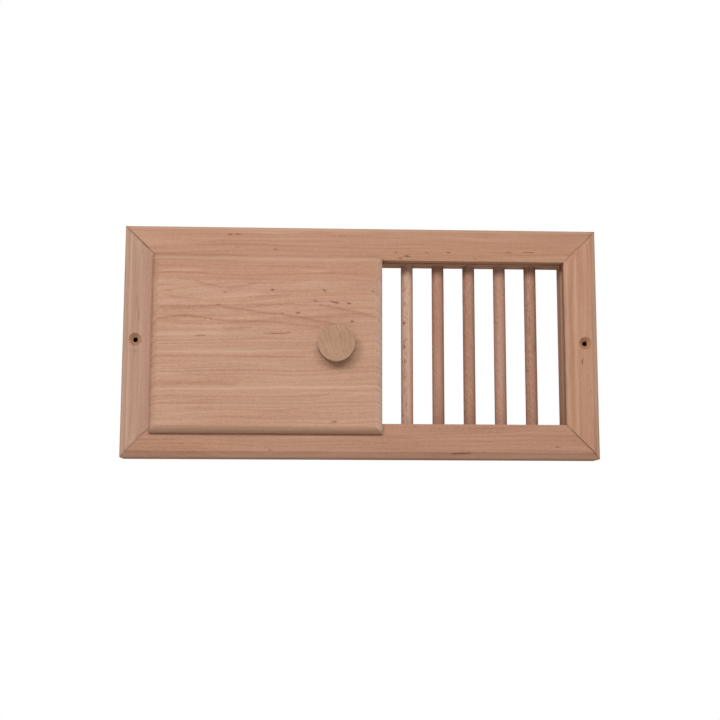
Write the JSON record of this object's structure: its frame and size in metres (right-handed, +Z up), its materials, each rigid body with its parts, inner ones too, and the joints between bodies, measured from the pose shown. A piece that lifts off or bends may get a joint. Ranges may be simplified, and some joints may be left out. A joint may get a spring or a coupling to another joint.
{
  "type": "sauna air vent",
  "caption": "Rectangular wooden wall vent: a mitred frame with a grille of upright round dowels and a slotted panel with a turned knob that slides across to shut it.",
  "frame": {"origin": "on the wall plane, midway between the two screw holes", "axes": "+X along the vent towards the grille end, +Y into the wall, +Z up"},
  "size_m": [0.31, 0.0371, 0.1516],
  "materials": {
    "frame_wood": "planed, unfinished alder",
    "dowel_wood": "turned, unfinished alder",
    "panel_wood": "planed, unfinished alder",
    "knob_wood": "turned, end grain to the front",
    "screw_steel": "zinc plated"
  },
  "bodies": {
    "frame": {"top_rail": "frame_wood", "bottom_rail": "frame_wood", "left_stile": "frame_wood", "right_stile": "frame_wood", "dowel_1": "dowel_wood", "dowel_2": "dowel_wood", "dowel_3": "dowel_wood", "dowel_4": "dowel_wood", "dowel_5": "dowel_wood"},
    "panel": {"panel_board": "panel_wood", "panel_strip": "panel_wood", "knob": "knob_wood", "knob_screw": "screw_steel"}
  },
  "joints": [
    {"name": "panel_slide", "type": "slide", "parent": "frame", "child": "panel", "axis": [1, 0, 0], "range_m": [0, 0.1233]}
  ]
}
